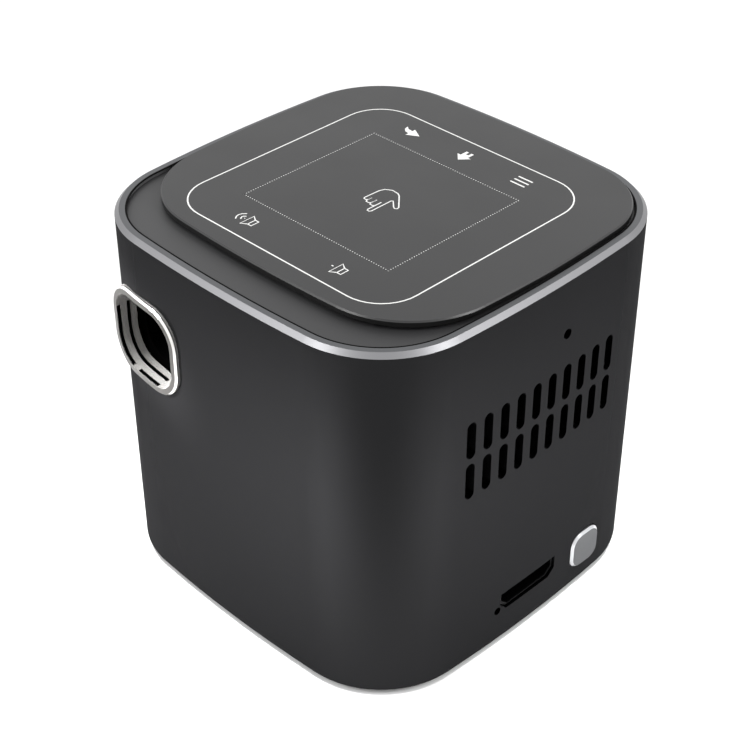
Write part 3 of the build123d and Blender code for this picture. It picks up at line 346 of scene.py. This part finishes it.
def hand_sign(shape):
    """Hand with its first finger stretched towards -Y."""
    outline = [
        (1.0, -0.9), (1.0, -3.5), (1.15, -3.8), (1.5, -3.82), (1.68, -3.55), (1.68, 0.3), (1.9, 0.5),
        (3.1, -0.65), (3.5, -0.85), (3.78, -0.62), (3.7, -0.25), (1.5, 2.1), (0.9, 2.45), (-0.25, 2.55),
        (-1.2, 2.0), (-1.5, 1.2), (-1.62, -1.6), (-1.45, -1.85), (-1.0, -1.85), (-0.85, -1.6), (-0.86, -0.9)]
    third_finger = [(-0.86, -0.9), (-0.85, -1.95), (-0.65, -2.2), (-0.2, -2.2), (0.05, -1.95), (0.1, -0.9)]
    second_finger = [(0.08, -1.0), (0.08, -2.1), (0.25, -2.38), (0.75, -2.38), (0.98, -2.1)]
    for points in (outline, third_finger, second_finger):
        ink_stroke(shape, points, thin_line)


print_on_panel("printed_frame_line", frame_line)
print_on_panel("printed_dots", dotted_field)
print_on_panel("printed_louder_sign", louder_sign)
print_on_panel("printed_quieter_sign", quieter_sign)
print_on_panel("printed_back_sign", back_sign)
print_on_panel("printed_home_sign", home_sign)
print_on_panel("printed_menu_sign", menu_sign)
print_on_panel("printed_hand_sign", hand_sign)


# Touch sensor and its lead: a film of printed polyester bonded under the panel, and the amber polyimide
# ribbon that takes its signals through the deck to the board.


def band_scale(spacing):
    """Scale of a wave texture whose bands lie this far apart."""
    return pi / (10 * spacing)


# Printed polyester: electrode bars 2.5 mm apart, a shade darker than the film between them.
sensor_film, tree, shader, place = start_finish("printed_polyester_film", "#4a4130", 0.3)
bars = add_node(tree, "ShaderNodeTexWave", {
    "Vector": place, "Scale": band_scale(2.5 * MM)}, bands_direction="X")
tint = add_node(tree, "ShaderNodeMixRGB", {
    "Fac": bars.outputs["Fac"], "Color1": linear("#4a4130"), "Color2": linear("#3a3326")})
tree.links.new(tint.outputs["Color"], shader.inputs["Base Color"])
dress(sensor_film, "touch_sensor")

# Polyimide film: amber and half glossy, with a faint ripple.
ribbon, tree, shader, place = start_finish("polyimide_ribbon", "#8a5a1c", 0.25)
give_grain(tree, shader, place, 1.2 * MM, 0.01 * MM)
dress(ribbon, "touch_flex")


# Lens bezel: a frame die cast in zinc, polished and plated with satin chrome, pressed into the sleeve's
# window. Two dark grooves run round the inside of its mouth.

# Chrome: a slightly warm bright metal, polished on its edges and walls; the lip that faces forward is
# blasted to a darker satin, and the grooves are painted a matte black as the shade deep in them.
polished, blasted = 0.14, 0.3
chrome, tree, shader, place = start_finish(
    "satin_chrome_plating", "#dddcda", polished, 1.0, Specular_IOR_Level=0.0)
give_grain(tree, shader, place, 1.5 * MM, 0.002 * MM)
forward = tone_by_facing(tree, shader, "Y", 0.85, 0.95, across="#e4e2df", along="#4b4947")
plated = shader.inputs["Base Color"].links[0].from_socket

# The grooves are the only faces set in from the bezel's outline by 0.4 to 1.03 mm that lie behind its
# bulged front. The way in is measured from the hub of the nearest round corner, and the way back from
# the axis of the bulge.
bezel_low, bezel_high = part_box("lens_bezel")
bezel_corner, bezel_bulge, bezel_apex = 5.25 * MM, 71 * MM, -8 * MM
groove_start, groove_end, groove_back = 0.4 * MM, 1.03 * MM, 0.1 * MM
middle = ((bezel_low.x + bezel_high.x) / 2, 0, (bezel_low.z + bezel_high.z) / 2)
half_wide, half_tall = (bezel_high.x - bezel_low.x) / 2, (bezel_high.z - bezel_low.z) / 2
hub = (half_wide - bezel_corner, 0, half_tall - bezel_corner)
bulge_axis = (bezel_apex, bezel_low.y + bezel_bulge, 0)

reach = place
for operation, other in (("SUBTRACT", middle), ("MULTIPLY", (1, 0, 1)), ("ABSOLUTE", (0, 0, 0)),
                         ("SUBTRACT", hub), ("MAXIMUM", (0, 0, 0))):
    step = add_node(tree, "ShaderNodeVectorMath", {0: reach, 1: other}, operation=operation)
    reach = step.outputs["Vector"]
reach = add_node(tree, "ShaderNodeVectorMath", {0: reach}, operation="LENGTH").outputs["Value"]
groove_middle, groove_half = (groove_start + groove_end) / 2, (groove_end - groove_start) / 2
inset = add_node(tree, "ShaderNodeMath", {
    0: reach, 1: bezel_corner - groove_middle, 2: groove_half}, operation="COMPARE").outputs["Value"]

depth = place
for operation, other in (("SUBTRACT", bulge_axis), ("MULTIPLY", (1, 1, 0))):
    step = add_node(tree, "ShaderNodeVectorMath", {0: depth, 1: other}, operation=operation)
    depth = step.outputs["Vector"]
depth = add_node(tree, "ShaderNodeVectorMath", {0: depth}, operation="LENGTH").outputs["Value"]
behind = add_node(tree, "ShaderNodeMath", {0: depth, 1: bezel_bulge - groove_back}, operation="LESS_THAN")

# Painted shade: the groove faces turn matte black and lose their metal.
groove_shade = add_node(tree, "ShaderNodeMath", {
    0: inset, 1: behind.outputs["Value"]}, operation="MULTIPLY").outputs["Value"]
tone = add_node(tree, "ShaderNodeMixRGB", {"Fac": groove_shade, "Color1": plated, "Color2": linear("#040404")})
tree.links.new(tone.outputs["Color"], shader.inputs["Base Color"])
polish = add_node(tree, "ShaderNodeMapRange", {"Value": forward, "To Min": polished, "To Max": blasted})
polish = add_node(tree, "ShaderNodeMath", {0: polish.outputs["Result"], 1: groove_shade}, operation="MAXIMUM")
tree.links.new(polish.outputs["Value"], shader.inputs["Roughness"])
bare = add_node(tree, "ShaderNodeMapRange", {"Value": groove_shade, "To Min": 0.8, "To Max": 0.0})
tree.links.new(bare.outputs["Result"], shader.inputs["Metallic"])
dress(chrome, "lens_bezel")


# Lens hood and mount: the black mouldings behind the bezel. The hood sits in the sleeve's window and
# shades the lens, and the mount is screwed to the light engine and holds the barrel in line.

# Moulded black ABS: nearly black, with a fine matte pebble that stops stray light.
black_abs, tree, shader, place = start_finish("moulded_black_abs", "#121213", 0.5)
give_grain(tree, shader, place, 0.3 * MM, 0.008 * MM, 0.05)
dress(black_abs, "lens_mount")

# Flocked black: the hood's inside swallows almost all the light that misses the lens.
hood_black, tree, shader, place = start_finish("light_trap_black", "#010101", 0.9, Specular_IOR_Level=0.0)
give_grain(tree, shader, place, 0.25 * MM, 0.02 * MM)
dress(hood_black, "lens_shroud")


# Lens: a turned aluminium barrel that slides in its mount, with a ground and polished glass cemented in
# its front and another in its rear.

# Turned black aluminium: a deep black with a dull metallic edge, and fine rings left by the lathe.
lathe_rings = 0.3 * MM
black_metal, tree, shader, place = start_finish("turned_black_aluminium", "#1b1b1c", 0.4, 1.0)
turning = add_node(tree, "ShaderNodeTexWave", {
    "Vector": place, "Scale": band_scale(lathe_rings), "Distortion": 0.3}, bands_direction="Y")
bump = add_node(tree, "ShaderNodeBump", {"Height": turning.outputs["Fac"], "Distance": 0.004 * MM})
tree.links.new(bump.outputs["Normal"], shader.inputs["Normal"])
dress(black_metal, "lens_barrel")

# Coated optical glass: clear and smooth, with a faint violet sheen from its coating.
optical_glass, tree, shader, place = start_finish(
    "coated_optical_glass", "#f2f6fa", 0.02, IOR=1.6, Transmission_Weight=1.0,
    Thin_Film_Thickness=120.0, Thin_Film_IOR=1.38)
patches = add_node(tree, "ShaderNodeTexNoise", {"Vector": place, "Scale": 1 / (3 * MM)})
haze = add_node(tree, "ShaderNodeMapRange", {
    "Value": patches.outputs["Fac"], "To Min": 0.01, "To Max": 0.03})
tree.links.new(haze.outputs["Result"], shader.inputs["Roughness"])
dress(optical_glass, "front_element", "rear_element")


# Focus drive: a toothed thumb wheel on a steel pin, and the toothed ring that it turns round the lens
# mount, both moulded in acetal.

# Moulded black acetal: a dense black with a waxy half gloss.
acetal, tree, shader, place = start_finish("moulded_black_acetal", "#19191a", 0.38)
give_grain(tree, shader, place, 0.5 * MM, 0.004 * MM, 0.05)
dress(acetal, "focus_ring", "focus_wheel")

# Turned steel: bright, with lathe marks round it.
turned_steel, tree, shader, place = start_finish("turned_steel", "#a9a9ab", 0.25, 1.0)
give_grain(tree, shader, place, 0.3 * MM, 0.003 * MM)
dress(turned_steel, "focus_axle")


# Light engine: a die-cast housing and cover round the prism, mirrors, condenser lenses and light sources,
# with the micromirror chip, which throws the picture through the lens, at its back. It is screwed to the
# upper frame.

# Die-cast aluminium, blasted: pale grey with a coarse, slightly uneven matte skin.
cast, tree, shader, place = start_finish("die_cast_aluminium", "#8f9092", 0.5, 1.0)
give_grain(tree, shader, place, 0.4 * MM, 0.01 * MM, 0.08)
dress(cast, "engine_housing", "engine_cover")

dress(optical_glass, "prism", "condenser_lenses")

# Dichroic glass: a thin mirror with a cool cast.
mirror_glass, tree, shader, place = start_finish("dichroic_mirror_glass", "#c3cbe0", 0.05, 1.0)
give_grain(tree, shader, place, 4 * MM, 0.001 * MM)
dress(mirror_glass, "light_plates")

# Solder mask on glass cloth: dark green gloss in blocks 5 mm wide, parted by raised copper tracks.
board, tree, shader, place = start_finish("solder_mask_board", "#0f3d22", 0.35)
blocks = add_node(tree, "ShaderNodeTexBrick", {
    "Vector": place, "Scale": 1 / (5 * MM), "Mortar Size": 0.02, "Color1": linear("#0f3d22"),
    "Color2": linear("#12462a"), "Mortar": linear("#1f6a3e")})
tree.links.new(blocks.outputs["Color"], shader.inputs["Base Color"])
bump = add_node(tree, "ShaderNodeBump", {"Height": blocks.outputs["Fac"], "Distance": -0.03 * MM})
tree.links.new(bump.outputs["Normal"], shader.inputs["Normal"])
dress(board, "dmd_board", "source_board")

# Silicone over a phosphor chip: a clear yellow dome with a soft gloss.
phosphor, tree, shader, place = start_finish("phosphor_silicone", "#d8bb3c", 0.2)
give_grain(tree, shader, place, 0.4 * MM, 0.006 * MM)
dress(phosphor, "light_sources")

# Epoxy moulding compound: charcoal with a sandy matte skin.
epoxy, tree, shader, place = start_finish("moulded_epoxy", "#232325", 0.6)
give_grain(tree, shader, place, 0.2 * MM, 0.008 * MM)
dress(epoxy, "dmd_chip")


# Cooling: a finned heat sink, extruded in aluminium, behind the light sources, and a fan behind the
# vents: a moulded frame, and a rotor that turns on a wound stator.

# Extruded aluminium: pale and satin, with die lines along the fins.
extrusion, tree, shader, place = start_finish("extruded_aluminium", "#a2a3a5", 0.4, 1.0)
drawn = add_node(tree, "ShaderNodeMapping", {"Vector": place, "Scale": (1.0, 1.0, 0.04)})
give_grain(tree, shader, drawn.outputs["Vector"], 0.3 * MM, 0.006 * MM, 0.06)
dress(extrusion, "heat_sink")

dress(black_abs, "fan_frame")
dress(acetal, "fan_rotor")

# Enamelled copper wire: a red-brown gloss in turns 0.35 mm apart.
winding, tree, shader, place = start_finish("enamelled_copper_winding", "#9a4f24", 0.3, 1.0)
turns = add_node(tree, "ShaderNodeTexWave", {
    "Vector": place, "Scale": band_scale(0.35 * MM)}, bands_direction="Z")
bump = add_node(tree, "ShaderNodeBump", {"Height": turns.outputs["Fac"], "Distance": 0.05 * MM})
tree.links.new(bump.outputs["Normal"], shader.inputs["Normal"])
dress(winding, "fan_stator")


# Main board, sockets and switches: a glass cloth board with its chips, and soldered to it, behind the
# sleeve's openings, folded steel shells round moulded tongues, moulded jacks and switches. The microphone
# is stuck behind its own hole.

dress(board, "main_board")
dress(epoxy, "board_chips")

# Nickel-plated sheet: a warm grey metal with a rolled satin skin.
nickel, tree, shader, place = start_finish("nickel_plated_steel", "#8d8a86", 0.32, 1.0)
give_grain(tree, shader, place, 0.4 * MM, 0.004 * MM, 0.05)
dress(nickel, "usb_shell", "microphone")

# Painted shade: the small socket's shell is made near black, so that it hardly shows in its opening.
shaded_socket_shell, tree, shader, place = start_finish("socket_shell_painted_shade", "#0d0d0e", 0.5, 1.0)
give_grain(tree, shader, place, 0.4 * MM, 0.004 * MM, 0.05)
dress(shaded_socket_shell, "hdmi_shell")

# Glass-filled nylon: black with faint swirls of short fibre.
nylon, tree, shader, place = start_finish("glass_filled_nylon", "#161617", 0.45)
give_grain(tree, shader, place, 0.6 * MM, 0.008 * MM, 0.08, detail=4.0)
dress(nylon, "hdmi_tongue", "usb_tongue", "audio_jack", "power_inlet", "power_switch", "reset_switch")


# Buttons: a milled aluminium cap in the sleeve's side, whose stem pushes the switch's acetal plunger, and
# the acetal pin behind the reset hole.

# Silver anodised aluminium: satin grey with a bright cut edge.
button_metal, tree, shader, place = start_finish("satin_anodised_button", "#5a5b5d", 0.34, 1.0)
give_grain(tree, shader, place, drawn_grit, 0.003 * MM, 0.04)
tone_by_facing(tree, shader, "X", 0.8, 0.95, across="#c4c5c7", along="#515254")
dress(button_metal, "power_button")

dress(acetal, "power_plunger", "reset_plunger")


# Chassis: a lower frame with the battery's tray, an upper frame that carries the engine, fan and
# loudspeaker, and the base plate that closes the sleeve from below. All are moulded in black ABS and held
# by four long screws.

dress(black_abs, "lower_frame", "upper_frame", "base_plate")


# Battery: a flat pouch cell in plain shrink wrap, which lies on a foam pad in the lower frame's tray and
# is held down by the upper frame.

# PVC shrink wrap: a dark blue-grey gloss with shallow wrinkles.
shrink_wrap, tree, shader, place = start_finish("pvc_shrink_wrap", "#22262d", 0.28)
give_grain(tree, shader, place, 2.5 * MM, 0.06 * MM, 0.04)
dress(shrink_wrap, "battery_pack")

dress(foam, "battery_pad")


# Loudspeaker: a pressed steel basket that stands on the upper frame against the sleeve's back wall, with
# a paper cone in front and a magnet glued behind.

# Painted steel: black with the faint dimples of a sprayed coat.
painted_steel, tree, shader, place = start_finish("black_painted_steel", "#161617", 0.42)
give_grain(tree, shader, place, 0.8 * MM, 0.01 * MM, 0.04)
dress(painted_steel, "speaker_basket")

# Pressed paper: black and fibrous, with no gloss.
paper, tree, shader, place = start_finish("pressed_paper_cone", "#1d1c1b", 0.9)
give_grain(tree, shader, place, 0.35 * MM, 0.03 * MM, detail=5.0)
dress(paper, "speaker_cone")

# Sintered magnet: a grey nickel plate over a slightly rough body.
magnet, tree, shader, place = start_finish("nickel_plated_magnet", "#77777a", 0.35, 1.0)
give_grain(tree, shader, place, 0.5 * MM, 0.008 * MM, 0.05)
dress(magnet, "speaker_magnet")


# Foot, tripod insert and screws: a moulded rubber ring on the base, a threaded brass insert pressed in
# its middle, and blackened steel screws that hold the case together.

# Moulded rubber: a deep matte black with a powdery skin.
rubber, tree, shader, place = start_finish("moulded_rubber", "#161617", 0.75)
give_grain(tree, shader, place, 0.4 * MM, 0.01 * MM, 0.05)
dress(rubber, "rubber_foot")

# Turned brass: yellow, with fine rings from the lathe.
brass, tree, shader, place = start_finish("turned_brass", "#b8923f", 0.28, 1.0)
turning = add_node(tree, "ShaderNodeTexWave", {
    "Vector": place, "Scale": band_scale(lathe_rings)}, bands_direction="Z")
bump = add_node(tree, "ShaderNodeBump", {"Height": turning.outputs["Fac"], "Distance": 0.006 * MM})
tree.links.new(bump.outputs["Normal"], shader.inputs["Normal"])
dress(brass, "tripod_insert")

# Oil-blackened steel: nearly black with a dull sheen.
screw_steel, tree, shader, place = start_finish("blackened_steel", "#2b2b2d", 0.4, 1.0)
give_grain(tree, shader, place, 0.4 * MM, 0.004 * MM, 0.05)
dress(screw_steel, "base_screws", "deck_screws", "board_screws", "engine_screws", "lens_screws")


# Floor: one wide flat sheet that the projector stands on, painted off-white. It is part of the studio,
# not of the projector.

floor_half_side = 4.0
floor_mesh = bpy.data.meshes.new("floor")
shape = bmesh.new()
bmesh.ops.create_grid(shape, x_segments=1, y_segments=1, size=floor_half_side)
shape.to_mesh(floor_mesh)
shape.free()

# Matte paint: an even off-white that spreads light with no gloss.
floor_paint = start_finish("matte_white_floor", "#f4f4f4", 0.9)[0]
floor_mesh.materials.append(floor_paint)
floor = bpy.data.objects.new("floor", floor_mesh)
bpy.context.scene.collection.objects.link(floor)


# Studio light: an even white surround, two softboxes high above for the pale bands on the sleeve, two at
# the sides for the ring's bright edge, and a small one that shines into the lens's mouth.

surround = bpy.data.worlds.new("studio")
surround.use_nodes = True
backdrop = surround.node_tree.nodes["Background"]
backdrop.inputs["Color"].default_value = linear("#ffffff")
backdrop.inputs["Strength"].default_value = 1.2
bpy.context.scene.world = surround
bpy.context.scene.view_settings.view_transform = "Standard"


def direction(azimuth, elevation):
    """Unit vector from the object towards an azimuth, counted from -Y towards +X, and an elevation."""
    a, e = radians(azimuth), radians(elevation)
    return Vector((sin(a) * cos(e), -cos(a) * cos(e), sin(e)))


def softbox(name, place, aim, wide, tall, watts, grid):
    """A rectangular studio light with its middle at place, turned to aim, both in millimetres, with a
    honeycomb grid that narrows its beam to an angle."""
    lamp = bpy.data.lights.new(name, "AREA")
    lamp.shape = "RECTANGLE"
    lamp.size, lamp.size_y, lamp.energy, lamp.spread = wide * MM, tall * MM, watts, radians(grid)
    light = bpy.data.objects.new(name, lamp)
    light.location = Vector(place) * MM
    light.rotation_euler = (Vector(place) - Vector(aim)).to_track_quat("Z", "Y").to_euler()
    bpy.context.scene.collection.objects.link(light)


softbox("left_box", (-60, -150, 600), (-31, -55, 0), wide=125, tall=55, watts=0.058, grid=7)
softbox("right_box", (150, 60, 600), (55, 30, 0), wide=125, tall=55, watts=0.034, grid=7)

lamp_distance = 400
glass_low, glass_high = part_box("front_element")
mouth = Vector(((glass_low.x + glass_high.x) / 2, bezel_low.y, (glass_low.z + glass_high.z) / 2)) / MM
softbox("mouth_box", mouth + direction(-45, 35) * lamp_distance, mouth, wide=8, tall=8, watts=0.0024, grid=2)

for name, lamp_azimuth in (("left_edge_box", -22), ("right_edge_box", 112)):
    lamp_place = direction(lamp_azimuth, 44.5) * lamp_distance
    softbox(name, lamp_place, (0, 0, 45), wide=150, tall=60, watts=0.02, grid=30)


# Camera: it looks down at the corner between the lens and the button, and is turned a fraction of a
# degree off the line to the projector's middle.

azimuth, elevation = 44.7723, 35.3467
turned_more, tilted_more, rolled = 0.2369, 0.4043, 0.0713
middle_height, distance = 31.5 * MM, 250.97 * MM

camera = bpy.data.objects.new("camera", bpy.data.cameras.new("camera"))
bpy.context.scene.collection.objects.link(camera)
camera.data.sensor_width = 36
camera.data.lens = 81.26
camera.data.clip_start = 0.01
stand = Vector((0, 0, middle_height)) + direction(azimuth, elevation) * distance
camera.matrix_world = (Matrix.Translation(stand) @ Matrix.Rotation(radians(azimuth + turned_more), 4, "Z")
                       @ Matrix.Rotation(radians(90 - elevation - tilted_more), 4, "X")
                       @ Matrix.Rotation(radians(-rolled), 4, "Z"))
bpy.context.scene.camera = camera
